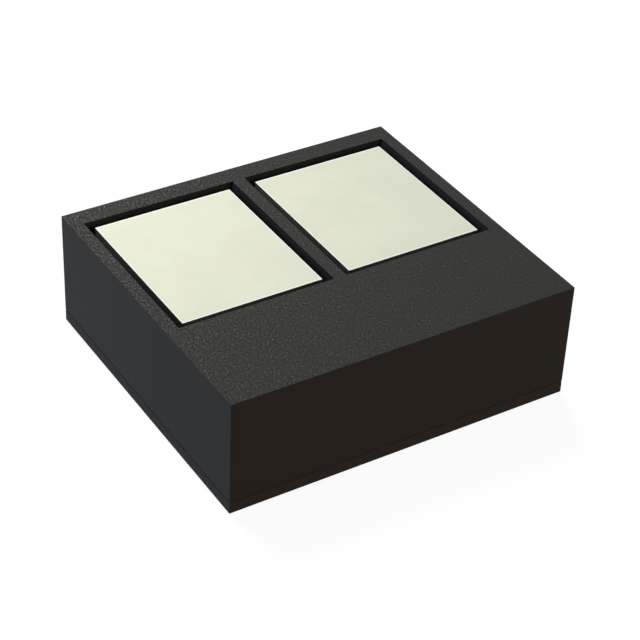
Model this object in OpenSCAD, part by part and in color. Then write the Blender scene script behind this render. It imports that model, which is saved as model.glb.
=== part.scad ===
// Surface-mount infrared sensor: a moulded cap with two filter windows, sealed to a small circuit
// board that carries two detector chips, a readout chip and two capacitors.
// The sensor stands on its lands: z = 0 is their underside and the origin is the middle of the
// outline. +X runs across the two windows, and the closed front strip is on the -Y side.

/* [Body] */
// Width across both windows
body_width = 6.22; // [5.6:0.01:8]
// Depth from the front face to the back face
body_depth = 5.65; // [5.2:0.01:7.5]
// Height from the board's underside to the top of the cap
body_height = 2.08; // [1.8:0.01:3]

/* [Window recesses] */
// Wall between a recess and the side of the body
side_wall = 0.225; // [0.15:0.005:0.4]
// Rib between the two recesses
window_rib = 0.23; // [0.15:0.01:0.6]
// Wall between a recess and the back of the body
back_wall = 0.37; // [0.25:0.01:0.7]
// Closed strip in front of the recesses
front_strip = 2.01; // [1.8:0.01:2.6]

/* [Filters] */
// Gap between a filter and the wall of its recess
filter_gap = 0.135; // [0.05:0.005:0.2]
// Thickness of a filter
filter_thickness = 0.5; // [0.3:0.01:0.7]
// Depth of a filter's top face below the top of the cap
filter_sink = 0.044; // [0.01:0.001:0.15]
// Adhesive under a filter
filter_bond = 0.02; // [0.01:0.005:0.05]
// Height that the adhesive climbs up a filter's sides
filter_bead = 0.12; // [0.05:0.01:0.25]

/* [Cap inside] */
// Wall round the bays at the board
shell_wall = 0.3; // [0.22:0.01:0.45]
// Wall between the two sensing bays
bay_divider = 0.5; // [0.3:0.01:0.7]
// Wall between the sensing bays and the electronics bay
cross_wall = 0.3; // [0.2:0.01:0.5]
// Web between the recesses and the electronics bay
strip_web = 0.2; // [0.12:0.01:0.3]
// Roof over the electronics bay
bay_roof = 0.25; // [0.15:0.01:0.4]
// Radius of the bays' upright corners
bay_radius = 0.15; // [0.05:0.01:0.25]
// Reach of the ledge under a filter's edge
ledge_reach = 0.25; // [0.15:0.01:0.4]
// Thickness of the ledge
ledge_thickness = 0.25; // [0.18:0.01:0.4]
// Size of the flare round an aperture's lower edge
aperture_flare = 0.12; // [0.04:0.01:0.14]
// Radius of an aperture's corners
aperture_radius = 0.12; // [0.05:0.01:0.2]
// Thickness of the seal between cap and board
seal_thickness = 0.02; // [0.01:0.005:0.05]
// Depth of the seal's edge behind the side of the body
seal_inset = 0.015; // [0:0.005:0.05]

/* [Board] */
// Thickness of the board
board_thickness = 0.2; // [0.1:0.01:0.4]
// Diameter of a plated and filled via
via_diameter = 0.2; // [0.1:0.01:0.4]

/* [Lands] */
// Length of a land, from the side of the body inwards
land_length = 0.9; // [0.5:0.01:1.2]
// Width of a land along the side
land_width = 0.7; // [0.4:0.01:0.9]
// Height of a land below the board
land_thickness = 0.03; // [0.02:0.005:0.06]
// Spacing of the lands along a side
land_pitch = 1.27; // [1:0.01:1.4]
// Gap between a land and the side of the body
land_edge = 0.15; // [0.05:0.01:0.4]
// Cut corner that marks the first land
first_land_cut = 0.22; // [0.1:0.01:0.35]

/* [Detector chips] */
// Width of a detector chip
detector_width = 1.8; // [1.5:0.01:2]
// Length of a detector chip
detector_length = 1.9; // [1.5:0.01:2.2]
// Thickness of a detector chip
detector_thickness = 0.4; // [0.3:0.01:0.5]
// Side of the pocket etched into a chip from below
pocket_size = 1.3; // [1:0.01:1.35]
// Thickness of the membrane over the pocket
membrane_thickness = 0.03; // [0.02:0.005:0.06]
// Side of the sensing film
film_size = 1.1; // [0.7:0.01:1.2]
// Thickness of the sensing film
film_thickness = 0.02; // [0.01:0.005:0.04]
// Adhesive under a chip
chip_bond = 0.02; // [0.01:0.005:0.05]

/* [Readout chip] */
// Width of the readout chip
readout_width = 2.2; // [2:0.01:2.6]
// Depth of the readout chip
readout_depth = 0.75; // [0.6:0.01:0.85]
// Thickness of the readout chip
readout_thickness = 0.25; // [0.15:0.01:0.4]

/* [Wire bonds] */
// Diameter of a bond wire
wire_diameter = 0.025; // [0.02:0.001:0.04]
// Diameter of the ball at a wire's chip end
ball_diameter = 0.06; // [0.05:0.001:0.09]
// Height of the ball
ball_height = 0.02; // [0.015:0.001:0.03]
// Height of the loop above the chip
loop_height = 0.12; // [0.08:0.01:0.2]
// Distance of a ball from the chip's edge
ball_inset = 0.08; // [0.05:0.01:0.12]
// Spacing of a detector's two wires
detector_wire_pitch = 0.6; // [0.3:0.01:1.2]
// Spacing of the readout chip's wires
readout_wire_pitch = 0.5; // [0.25:0.01:0.6]
// Width of a bond finger on the board
finger_width = 0.14; // [0.08:0.01:0.2]
// Length of a bond finger
finger_length = 0.15; // [0.1:0.01:0.18]
// Thickness of the bond fingers and capacitor pads
pad_thickness = 0.02; // [0.01:0.005:0.04]
// Gap between a chip and its bond fingers
finger_gap = 0.07; // [0.04:0.01:0.1]

/* [Capacitors] */
// Length of a capacitor
capacitor_length = 0.6; // [0.5:0.01:0.7]
// Width of a capacitor
capacitor_width = 0.3; // [0.25:0.01:0.4]
// Height of a capacitor
capacitor_height = 0.3; // [0.25:0.01:0.4]
// Length of a metal end cap
end_length = 0.15; // [0.1:0.01:0.2]
// Thickness of an end cap's metal
end_skin = 0.02; // [0.01:0.005:0.03]
// Reach of a pad past the capacitor's end
pad_reach = 0.1; // [0.05:0.01:0.15]
// Height of the solder at a capacitor's end
solder_height = 0.14; // [0.05:0.01:0.2]

/* [Hidden] */

left = -1;
right = 1;
sides = [left, right];
lands_per_side = 4;
readout_wires_per_side = 4;
wire_sides = 8;
wire_steps = 10;
// Length of the first handle of a wire's curve, in loop heights
loop_handle = 2.5;
// Step along a wire's curve over which its slope is taken
slope_step = 0.001;
// Height of the taper from ball to wire, in ball heights
neck_share = 0.5;
// Radius of a wire's foot, in wire radii
foot_spread = 2;
// Height by which the flare's cut runs into the bay below it, in flare heights
flare_overlap = 0.5;
// Length by which cuts run out of what they cut
overcut = 0.2;
$fn = 48;

// Heights, from the lands upwards
board_bottom = land_thickness;
board_top = board_bottom + board_thickness;
cap_bottom = board_top + seal_thickness;
cap_top = board_bottom + body_height;
filter_bottom = cap_top - filter_sink - filter_thickness;
ledge_top = filter_bottom - filter_bond;
ledge_bottom = ledge_top - ledge_thickness;
chip_bottom = board_top + chip_bond;
detector_top = chip_bottom + detector_thickness;
readout_top = chip_bottom + readout_thickness;
pad_top = board_top + pad_thickness;

// Window recesses, filters and apertures
recess_width = (body_width - 2 * side_wall - window_rib) / 2;
recess_length = body_depth - front_strip - back_wall;
filter_width = recess_width - 2 * filter_gap;
filter_length = recess_length - 2 * filter_gap;
aperture_width = filter_width - 2 * ledge_reach;
aperture_length = filter_length - 2 * ledge_reach;
window_x = (recess_width + window_rib) / 2;
window_y = body_depth / 2 - back_wall - recess_length / 2;

// Bays under the cap
bay_outer_x = body_width / 2 - shell_wall;
bay_outer_y = body_depth / 2 - shell_wall;
electronics_back_y = front_strip - body_depth / 2 - strip_web;
sensing_front_y = electronics_back_y + cross_wall;
electronics_y = (electronics_back_y - bay_outer_y) / 2;

// Places on the board
land_x = body_width / 2 - land_edge - land_length / 2;
capacitor_x = (readout_width / 2 + bay_outer_x) / 2;
wire_reach = ball_inset + finger_gap + finger_length / 2;

// Middles of a row of count things along a line, each one pitch from the next
function row_places(count, pitch) = [for (i = [0:count - 1]) (i - (count - 1) / 2) * pitch];

// Block standing on the plane z = 0, centred on the Z axis
module block(width, length, height) {
    translate([-width / 2, -length / 2, 0])
        cube([width, length, height]);
}

// Rectangle with round corners, centred on the origin
module round_rectangle(width, length, radius) {
    square([width - 2 * radius, length], center = true);
    square([width, length - 2 * radius], center = true);
    for (x = sides, y = sides)
        translate([x * (width / 2 - radius), y * (length / 2 - radius)])
            circle(r = radius);
}

// Round rectangle between two corners
module bay_outline(x_low, x_high, y_low, y_high) {
    translate([(x_low + x_high) / 2, (y_low + y_high) / 2])
        round_rectangle(x_high - x_low, y_high - y_low, bay_radius);
}

// Outline of one sensing bay
module sensing_bay(side) {
    mirror([side == left ? 1 : 0, 0])
        bay_outline(bay_divider / 2, bay_outer_x, sensing_front_y, bay_outer_y);
}

// Outline of the electronics bay
module electronics_bay() {
    bay_outline(-bay_outer_x, bay_outer_x, -bay_outer_y, electronics_back_y);
}

// Children placed on the axis of one window
module at_window(side) {
    translate([side * window_x, window_y, 0])
        children();
}

// Children placed at each end of a capacitor, turned to face outwards
module at_capacitor_ends(side) {
    translate([side * capacitor_x, electronics_y, 0])
        for (turn = [0, 180])
            rotate([0, 0, turn])
                translate([0, -capacitor_length / 2, 0])
                    children();
}

// Children placed at the middle of every land
module at_lands() {
    for (x = sides, y = row_places(lands_per_side, land_pitch))
        translate([x * land_x, y, 0])
            children();
}

// Laminate board, drilled for its vias
module board() {
    color("#1d1f1e")
        difference() {
            translate([0, 0, board_bottom])
                block(body_width, body_depth, board_thickness);
            at_lands()
                translate([0, 0, board_bottom - overcut])
                    cylinder(d = via_diameter, h = board_thickness + 2 * overcut);
        }
}

// Copper plugs through the board, one on each land
module board_vias() {
    color("#b87333")
        at_lands()
            translate([0, 0, board_bottom])
                cylinder(d = via_diameter, h = board_thickness);
}

// Gold-plated land; they count from the back left corner, down the left side and up the right
module land(number) {
    side = number <= lands_per_side ? left : right;
    places = row_places(lands_per_side, land_pitch);
    y = side == left ? places[lands_per_side - number] : places[number - lands_per_side - 1];
    color("#d4af5a")
        translate([side * land_x, y, 0])
            linear_extrude(land_thickness)
                difference() {
                    square([land_length, land_width], center = true);
                    if (number == 1)
                        translate([land_length / 2, land_width / 2])
                            rotate(45)
                                square(first_land_cut * sqrt(2), center = true);
                }
}

// Straight or tapered plug with the aperture's outline, grown by spread at its foot
module aperture_plug(spread, height) {
    hull()
        for (x = sides, y = sides)
            translate([
                x * (aperture_width / 2 - aperture_radius),
                y * (aperture_length / 2 - aperture_radius),
                0
            ])
                cylinder(r1 = aperture_radius + spread, r2 = aperture_radius, h = height, $fn = 32);
}

// Stepped opening for one filter: recess, aperture in the ledge and a 45 degree flare below it.
// The flare's plug starts a little way down in the bay.
module window_opening(side) {
    flare_height = aperture_flare * (1 + flare_overlap);
    flare_top = ledge_bottom + aperture_flare;
    at_window(side) {
        translate([0, 0, ledge_top])
            block(recess_width, recess_length, cap_top - ledge_top + overcut);
        translate([0, 0, flare_top - flare_height])
            aperture_plug(flare_height, flare_height);
        translate([0, 0, ledge_bottom])
            aperture_plug(0, ledge_thickness + overcut);
    }
}

// Moulded cap: one shell with the two window openings and three bays
module cap() {
    color("#302f2d")
        difference() {
            translate([0, 0, cap_bottom])
                block(body_width, body_depth, cap_top - cap_bottom);
            for (side = sides) {
                window_opening(side);
                translate([0, 0, cap_bottom - overcut])
                    linear_extrude(ledge_bottom - cap_bottom + overcut)
                        sensing_bay(side);
            }
            translate([0, 0, cap_bottom - overcut])
                linear_extrude(cap_top - bay_roof - cap_bottom + overcut)
                    electronics_bay();
        }
}

// Epoxy between the cap's walls and the board
module cap_seal() {
    color("#0c0c0c")
        translate([0, 0, board_top])
            linear_extrude(seal_thickness)
                difference() {
                    square([body_width - 2 * seal_inset, body_depth - 2 * seal_inset], center = true);
                    for (side = sides)
                        sensing_bay(side);
                    electronics_bay();
                }
}

// Coated filter plate
module filter_plate(side) {
    color("#e6e9d6")
        at_window(side)
            translate([0, 0, filter_bottom])
                block(filter_width, filter_length, filter_thickness);
}

// Bead under a filter's edge and up its sides
module filter_adhesive(side) {
    color("#191919")
        at_window(side)
            difference() {
                translate([0, 0, ledge_top])
                    block(recess_width, recess_length, filter_bond + filter_bead);
                translate([0, 0, filter_bottom])
                    block(filter_width, filter_length, filter_thickness);
                translate([0, 0, ledge_top - overcut])
                    aperture_plug(0, filter_bond + 2 * overcut);
            }
}

// Silicon chip with a pocket etched up to a thin membrane
module detector_chip(side) {
    color("#5a5f6b")
        at_window(side)
            difference() {
                translate([0, 0, chip_bottom])
                    block(detector_width, detector_length, detector_thickness);
                translate([0, 0, chip_bottom - overcut])
                    block(pocket_size, pocket_size, detector_thickness - membrane_thickness + overcut);
            }
}

// Pyroelectric film on the membrane
module sensing_film(side) {
    color("#8a7f4e")
        at_window(side)
            translate([0, 0, detector_top])
                block(film_size, film_size, film_thickness);
}

// Adhesive frame under a detector chip, open below the pocket
module detector_adhesive(side) {
    color("#c9c4b8")
        at_window(side)
            translate([0, 0, board_top])
                difference() {
                    block(detector_width, detector_length, chip_bond);
                    translate([0, 0, -overcut])
                        block(pocket_size, pocket_size, chip_bond + 2 * overcut);
                }
}

// Chip that reads the detectors
module readout_chip() {
    color("#4d525c")
        translate([0, electronics_y, chip_bottom])
            block(readout_width, readout_depth, readout_thickness);
}

// Adhesive under the readout chip
module readout_adhesive() {
    color("#c9c4b8")
        translate([0, electronics_y, board_top])
            block(readout_width, readout_depth, chip_bond);
}

// Children placed where a detector's wires leave it, with +X towards the fingers
module at_detector_balls(side) {
    at_window(side)
        for (x = [-detector_wire_pitch / 2, detector_wire_pitch / 2])
            translate([x, ball_inset - detector_length / 2, 0])
                rotate([0, 0, -90])
                    children();
}

// Children placed where the readout chip's wires leave it, with +X towards the fingers
module at_readout_balls() {
    translate([0, electronics_y, 0])
        for (turn = [90, -90], place = row_places(readout_wires_per_side, readout_wire_pitch))
            rotate([0, 0, turn])
                translate([readout_depth / 2 - ball_inset, place, 0])
                    children();
}

// Point at t on the curve of a wire, a cubic from [0, 0]: up out of the ball's neck, over the loop
// and down on the finger, which lies lower by the drop
function loop_point(t, drop) =
    3 * t * pow(1 - t, 2) * [0, loop_handle * loop_height]
    + 3 * t * t * (1 - t) * [wire_reach, loop_height - drop / 2]
    + pow(t, 3) * [wire_reach, -drop];

// Direction of that curve at t
function loop_slope(t, drop) =
    let (run = loop_point(min(t + slope_step, 1), drop) - loop_point(max(t - slope_step, 0), drop))
    run / norm(run);

// Ring of points round a wire, across the direction that the wire runs in
function wire_ring(centre, slope, radius) = [
    for (i = [0:wire_sides - 1])
        let (turn = 360 * i / wire_sides)
        [
            centre[0] - slope[1] * radius * cos(turn),
            radius * sin(turn),
            centre[1] + slope[0] * radius * cos(turn)
        ]
];

// Bond wire from a ball on a chip to a foot on its finger, with its ball on the Z axis
module bond_wire(chip_top) {
    up = [0, 1];
    neck = ball_height * (1 + neck_share);
    drop = chip_top + neck - pad_top;
    radius = wire_diameter / 2;
    rings = concat(
        [wire_ring([0, 0], up, ball_diameter / 2), wire_ring([0, ball_height], up, ball_diameter / 2)],
        [
            for (i = [0:wire_steps])
                let (t = i / wire_steps)
                wire_ring(
                    [0, neck] + loop_point(t, drop),
                    i == wire_steps ? -up : loop_slope(t, drop),
                    i == wire_steps ? foot_spread * radius : radius
                )
        ]
    );
    last = len(rings) - 1;
    translate([0, 0, chip_top])
        polyhedron(
            points = [for (ring = rings) each ring],
            faces = concat(
                [[for (i = [0:wire_sides - 1]) i]],
                [[for (i = [0:wire_sides - 1]) last * wire_sides + wire_sides - 1 - i]],
                [
                    for (k = [0:last - 1], i = [0:wire_sides - 1], half = [0, 1])
                        let (a = k * wire_sides + i)
                        let (b = k * wire_sides + (i + 1) % wire_sides)
                        half == 0 ? [a, a + wire_sides, b] : [b, a + wire_sides, b + wire_sides]
                ]
            ),
            convexity = 4
        );
}

// Two wires from a detector chip to the board
module detector_wires(side) {
    color("#e0b84c")
        at_detector_balls(side)
            bond_wire(detector_top);
}

// Wires from both long edges of the readout chip to the board
module readout_wires() {
    color("#e0b84c")
        at_readout_balls()
            bond_wire(readout_top);
}

// Plated fingers on the board, one under the foot of each wire
module bond_fingers() {
    color("#d4af5a") {
        for (side = sides)
            at_detector_balls(side)
                bond_finger();
        at_readout_balls()
            bond_finger();
    }
}

// One finger, below a wire that starts on the Z axis and runs along +X
module bond_finger() {
    translate([wire_reach, 0, board_top])
        block(finger_length, finger_width, pad_thickness);
}

// Ceramic body of a capacitor, inside its end caps
module capacitor(side) {
    color("#8c6f4f")
        translate([side * capacitor_x, electronics_y, pad_top + end_skin])
            block(
                capacitor_width - 2 * end_skin,
                capacitor_length - 2 * end_skin,
                capacitor_height - 2 * end_skin
            );
}

// Tinned caps on both ends of a capacitor
module capacitor_ends(side) {
    color("#c4c4c4")
        at_capacitor_ends(side)
            translate([0, 0, pad_top])
                difference() {
                    translate([0, end_length / 2, 0])
                        block(capacitor_width, end_length, capacitor_height);
                    translate([0, end_skin + capacitor_length / 2, end_skin])
                        block(
                            capacitor_width - 2 * end_skin,
                            capacitor_length,
                            capacitor_height - 2 * end_skin
                        );
                }
}

// Plated pads under the ends of both capacitors
module capacitor_pads() {
    color("#d4af5a")
        for (side = sides)
            at_capacitor_ends(side)
                translate([0, (end_length - pad_reach) / 2, board_top])
                    block(capacitor_width, end_length + pad_reach, pad_thickness);
}

// Solder fillets from the pads up the end caps
module capacitor_solder() {
    color("#b9bcc0")
        for (side = sides)
            at_capacitor_ends(side)
                translate([capacitor_width / 2, 0, pad_top])
                    rotate([90, 0, -90])
                        linear_extrude(capacitor_width)
                            polygon([[0, 0], [pad_reach, 0], [0, solder_height]]);
}

board();
board_vias();
land(1);  // land_1
land(2);  // land_2
land(3);  // land_3
land(4);  // land_4
land(5);  // land_5
land(6);  // land_6
land(7);  // land_7
land(8);  // land_8
cap();
cap_seal();
filter_plate(left);  // filter_left
filter_plate(right);  // filter_right
filter_adhesive(left);  // filter_adhesive_left
filter_adhesive(right);  // filter_adhesive_right
detector_chip(left);  // detector_chip_left
detector_chip(right);  // detector_chip_right
sensing_film(left);  // sensing_film_left
sensing_film(right);  // sensing_film_right
detector_adhesive(left);  // detector_adhesive_left
detector_adhesive(right);  // detector_adhesive_right
detector_wires(left);  // detector_wires_left
detector_wires(right);  // detector_wires_right
readout_chip();
readout_adhesive();
readout_wires();
bond_fingers();
capacitor(left);  // capacitor_left
capacitor(right);  // capacitor_right
capacitor_ends(left);  // capacitor_ends_left
capacitor_ends(right);  // capacitor_ends_right
capacitor_pads();
capacitor_solder();
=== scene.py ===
# Finishes, fine pieces and studio for a surface-mount infrared sensor with two filter windows
import math
import bpy
import numpy as np
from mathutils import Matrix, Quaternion, Vector


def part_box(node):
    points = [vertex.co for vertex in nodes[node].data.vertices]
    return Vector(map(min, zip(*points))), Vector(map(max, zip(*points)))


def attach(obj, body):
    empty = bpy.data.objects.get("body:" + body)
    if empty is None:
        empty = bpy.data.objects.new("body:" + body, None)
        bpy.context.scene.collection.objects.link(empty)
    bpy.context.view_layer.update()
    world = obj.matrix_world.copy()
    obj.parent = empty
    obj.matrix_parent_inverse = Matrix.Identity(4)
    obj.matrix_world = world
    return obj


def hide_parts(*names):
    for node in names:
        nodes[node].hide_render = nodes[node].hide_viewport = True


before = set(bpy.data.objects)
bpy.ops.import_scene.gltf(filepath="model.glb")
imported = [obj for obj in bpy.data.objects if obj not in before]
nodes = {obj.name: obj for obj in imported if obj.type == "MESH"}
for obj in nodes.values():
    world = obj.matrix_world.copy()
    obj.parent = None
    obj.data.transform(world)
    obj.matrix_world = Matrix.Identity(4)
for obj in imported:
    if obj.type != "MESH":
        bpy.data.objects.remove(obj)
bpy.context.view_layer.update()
mm = 0.001
print("frame loaded:", len(nodes), "nodes")

# Camera, in millimetres and degrees. Azimuth 0 looks along +Y, and roll lifts the camera's right side.
cameraSettings = {
    "place": (-14.2205, -22.1635, 19.8427),
    "azimuth": 33.02,
    "elevation": 35.938,
    "roll": 2.71,
    "lens": 111.108,
    "sensor": 36.0,
    "clip": (1, 2000),
}


def aimed(name, data, place, ahead, roll=0.0):
    # A camera or lamp at a place in millimetres, which looks along ahead
    thing = bpy.data.objects.new(name, data)
    bpy.context.scene.collection.objects.link(thing)
    thing.location = Vector(place) * mm
    thing.rotation_mode = "QUATERNION"
    thing.rotation_quaternion = ahead.to_track_quat("-Z", "Y") @ Quaternion((0, 0, 1), roll)
    return thing


def makeCamera(settings):
    azimuth, elevation, roll = (math.radians(settings[angle]) for angle in ("azimuth", "elevation", "roll"))
    level = math.cos(elevation)
    ahead = Vector((math.sin(azimuth) * level, math.cos(azimuth) * level, -math.sin(elevation)))
    data = bpy.data.cameras.new("photoCamera")
    data.sensor_width = settings["sensor"]
    data.lens = settings["lens"]
    data.clip_start, data.clip_end = (distance * mm for distance in settings["clip"])
    bpy.context.scene.camera = aimed("photoCamera", data, settings["place"], ahead, roll)


class Wire:
    # One output of a shader's node. Operators on it add Math nodes, and node() adds any node.
    def __init__(self, tree, socket=None):
        self.tree, self.socket = tree, socket

    def node(self, kind, settings, inputs, output=0):
        # Settings first, then the values or links of the sockets. A colour is (red, green, blue).
        made = self.tree.nodes.new("ShaderNode" + kind)
        for name, value in settings.items():
            setattr(made, name, value)
        for name, value in inputs.items():
            socket = made.inputs[name]
            if isinstance(value, Wire):
                self.tree.links.new(value.socket, socket)
            else:
                socket.default_value = (*value, 1) if socket.type == "RGBA" else value
        return Wire(self.tree, made.outputs[output] if made.outputs else None)

    def output(self, name):
        # Another output of the same node
        return Wire(self.tree, self.socket.node.outputs[name])

    def maths(self, operation, *others, clamp=False):
        settings = {"operation": operation, "use_clamp": clamp}
        return self.node("Math", settings, dict(enumerate((self, *others))))

    def __add__(self, other):
        return self.maths("ADD", other)

    def __sub__(self, other):
        return self.maths("SUBTRACT", other)

    def __rsub__(self, other):
        return self.node("Math", {"operation": "SUBTRACT"}, {0: other, 1: self})

    def __mul__(self, other):
        return self.maths("MULTIPLY", other)

    def __abs__(self):
        return self.maths("ABSOLUTE")

    __radd__, __rmul__ = __add__, __mul__


def startFinish(name):
    # A new material, and the place on its piece in millimetres
    finish = bpy.data.materials.new(name)
    finish.use_nodes = True
    finish.node_tree.nodes.clear()
    coordinates = Wire(finish.node_tree).node("TexCoord", {}, {}, "Object")
    return finish, coordinates.node("VectorMath", {"operation": "SCALE"}, {0: coordinates, "Scale": 1 / mm})


def endFinish(finish, inputs):
    # Gives the material its shader, whose inputs go by the names of its sockets
    shader = Wire(finish.node_tree).node("BsdfPrincipled", {}, inputs)
    shader.node("OutputMaterial", {}, {"Surface": shader})
    return finish


def noise(place, size, detail=2.0, roughness=0.5):
    # Soft random pattern from 0 to 1, whose blobs are about size millimetres across
    inputs = {"Vector": place, "Scale": 1 / size, "Detail": detail, "Roughness": roughness}
    return place.node("TexNoise", {}, inputs)


def layered(place, size, squeeze, detail=2.0):
    # Noise whose blobs are squeezed along z into layers
    squeezed = place.node("Mapping", {}, {"Vector": place, "Scale": (1, 1, squeeze)})
    return noise(squeezed, size, detail)


def rise(value, low, high):
    # 0 below low, 1 above high, smooth between
    inputs = {"Value": value, "From Min": low, "From Max": high}
    return value.node("MapRange", {"interpolation_type": "SMOOTHSTEP"}, inputs)


def around(middle, pattern, swing):
    # A value that follows a pattern, half of swing down and half of it up
    return middle + (pattern - 0.5) * swing


def blend(share, colourA, colourB):
    # Colour A where share is 0 and colour B where it is 1, on the Mix node's colour sockets
    return share.node("Mix", {"data_type": "RGBA"}, {0: share, 6: colourA, 7: colourB}, 2)


def tinted(colour, factor):
    return tuple(min(1.0, factor * c) for c in colour)


def mottled(pattern, colour, factors):
    # A colour that follows a pattern between two multiples of itself
    return blend(pattern, *(tinted(colour, factor) for factor in factors))


def axes(place):
    # The place's x, y and z
    x = place.node("SeparateXYZ", {}, {0: place})
    return x, x.output(1), x.output(2)


def inBox(x, y, middle, half, soft):
    # 1 inside a rectangle and 0 outside it, with an edge that is soft millimetres wide
    across, along = abs(x - middle[0]) - half[0], abs(y - middle[1]) - half[1]
    return 1 - rise(across.maths("MAXIMUM", along), -soft / 2, soft / 2)


def bump(height, depth):
    # Surface normal for a pattern of that depth in millimetres
    return height.node("Bump", {}, {"Height": height, "Distance": depth * mm})


def dress(piece, finish):
    # Puts one finish on every face
    piece.data.materials.clear()
    piece.data.materials.append(finish)


def boxOf(node):
    # Lowest and highest corner of a CAD node, in millimetres
    return [np.array(corner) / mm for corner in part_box(node)]


def middleAndHalf(low, high):
    return (low + high) / 2, (high - low) / 2


def rectangle(low, high):
    # Counter-clockwise corners seen from above
    return [(low[0], low[1]), (high[0], low[1]), (high[0], high[1]), (low[0], high[1])]


def skin(rings, hollow=False):
    # Closed surface over a grid of points, rings x points round: quads join each ring to the next, and
    # flat ends close it, or the last ring joins the first one when it is hollow
    levels, count = rings.shape[:2]
    index = np.arange(levels * count).reshape(levels, count)
    lower, upper = (index, np.roll(index, -1, 0)) if hollow else (index[:-1], index[1:])
    quads = np.stack([lower, np.roll(lower, -1, 1), np.roll(upper, -1, 1), upper], -1)
    ends = [] if hollow else [index[0, ::-1].tolist(), index[-1].tolist()]
    return rings.reshape(-1, 3), quads.reshape(-1, 4).tolist() + ends


def loft(corners, levels, arcSteps=3, hollow=False):
    # Rings stacked along z over one outline. A level is (z, grow, radius): the outline moved out by grow,
    # with round corners. Arc centre = corner + (n0 + n1) / (1 + n0.n1) (grow - radius), where n0 and n1 are
    # the outward normals of the sides that meet there, and the arc turns from n0 to n1.
    corners = np.array(corners, float)
    z, grow, radius = np.array(levels, float).T
    run = np.roll(corners, -1, 0) - corners
    outward = np.stack([run[:, 1], -run[:, 0]], 1) / np.hypot(run[:, 0], run[:, 1])[:, None]
    before = np.roll(outward, 1, 0)
    cosine = (before * outward).sum(1)
    centre = corners + (before + outward) / (1 + cosine)[:, None] * (grow - radius)[:, None, None]
    start = np.arctan2(before[:, 1], before[:, 0])
    turn = np.arctan2(before[:, 0] * outward[:, 1] - before[:, 1] * outward[:, 0], cosine)
    angle = start[:, None] + turn[:, None] * np.linspace(0, 1, arcSteps + 1)
    arc = np.stack([np.cos(angle), np.sin(angle)], -1)
    flat = (centre[:, :, None] + radius[:, None, None, None] * arc).reshape(len(z), -1, 2)
    height = np.broadcast_to(z[:, None, None], (*flat.shape[:2], 1))
    return skin(np.concatenate([flat, height], -1), hollow)


def quarterTurn(steps, start=0.0):
    # Angles from start to a right angle
    return np.linspace(start, math.pi / 2, steps + 1)


def easedBlock(low, high, ease, steps=3, start=0.15):
    # Block with quarter-round edges all over: on the way round an edge the ring grows by ease (sin a - 1)
    # while its corners have the radius ease sin a, so that the corners are parts of a ball. The flat ends
    # begin at the angle start, where a corner still has some radius.
    a = quarterTurn(steps, start)
    depth, grow, radius = ease * (1 - np.cos(a)), ease * (np.sin(a) - 1), ease * np.sin(a)
    lower = np.stack([low[2] + depth, grow, radius], 1)
    upper = np.stack([high[2] - depth, grow, radius], 1)[::-1]
    return loft(rectangle(low, high), np.concatenate([lower, upper]), steps)


def easedSlab(corners, low, high, ease, radius):
    # Flat plate with upright sides and a narrow chamfer round its upper face
    return loft(corners, [(low, 0, radius), (high - ease, 0, radius), (high, -ease, radius)])


def tube(path, radii, sideways, sides):
    # Circle carried along a path that lies in the plane across sideways. At each point the ring is
    # radius (cos a N + sin a S), where S is sideways, T the path's direction and N = S x T.
    ahead = np.gradient(path, axis=0)
    ahead /= np.linalg.norm(ahead, axis=1, keepdims=True)
    across = np.cross(sideways, ahead)
    a = np.linspace(0, 2 * math.pi, sides, endpoint=False)[None, :, None]
    ring = np.cos(a) * across[:, None] + np.sin(a) * np.array(sideways)[None, None]
    return skin(path[:, None] + np.array(radii)[:, None, None] * ring)


def turned(part, place, directions):
    # A part moved from its own frame to the sensor's, with the directions of its own x, y and z
    points, faces = part
    return np.array(place) + points @ np.array(directions, float), faces


def makePiece(name, parts, finish, slot, *replaced, sharp=35):
    # One piece from parts in millimetres, which rides on the sensor and stands for CAD nodes. Edges that
    # turn by more than sharp degrees stay crisp.
    points = np.concatenate([points for points, _ in parts]) * mm
    starts = np.cumsum([0] + [len(points) for points, _ in parts]).tolist()
    faces = [[corner + start for corner in face]
             for start, (_, partFaces) in zip(starts, parts) for face in partFaces]
    mesh = bpy.data.meshes.new(name)
    mesh.from_pydata(points.tolist(), [], faces)
    mesh.polygons.foreach_set("use_smooth", np.ones(len(mesh.polygons), bool))
    mesh.set_sharp_from_angle(angle=math.radians(sharp))
    mesh.materials.append(finish)
    mesh.update()
    piece = bpy.data.objects.new(name, mesh)
    bpy.context.scene.collection.objects.link(piece)
    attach(piece, "root")
    for node in replaced:
        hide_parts(node)
    return piece


makeCamera(cameraSettings)
print("camera placed")

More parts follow.
